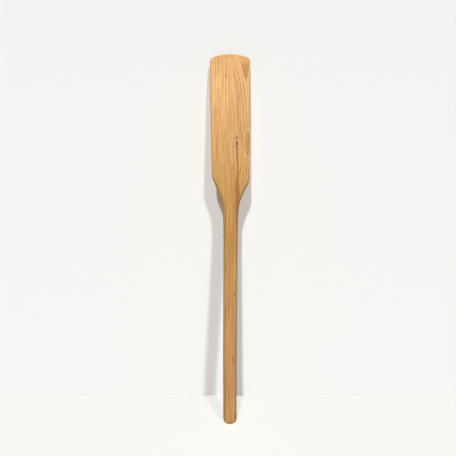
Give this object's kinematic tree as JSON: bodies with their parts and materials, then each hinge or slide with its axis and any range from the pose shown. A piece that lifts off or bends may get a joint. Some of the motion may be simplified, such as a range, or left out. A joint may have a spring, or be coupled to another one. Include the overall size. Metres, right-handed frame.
{
  "type": "apple butter stirrer",
  "caption": "Long one-piece wooden paddle with a flat crowned blade, sloping shoulders and a rounded handle, for stirring a deep kettle.",
  "frame": {"origin": "bottom centre, at the end of the handle, in the middle of the board's thickness", "axes": "+Z along the paddle from the end of the handle to the tip of the blade, +X across the blade, +Y through the board towards its back face, so the front face looks towards -Y"},
  "size_m": [0.1238, 0.022, 1.0668],
  "materials": {
    "honey_wood": "bare, hand-smoothed, with a dull sheen from use"
  },
  "bodies": {
    "root": {"paddle": "honey_wood"}
  },
  "joints": []
}
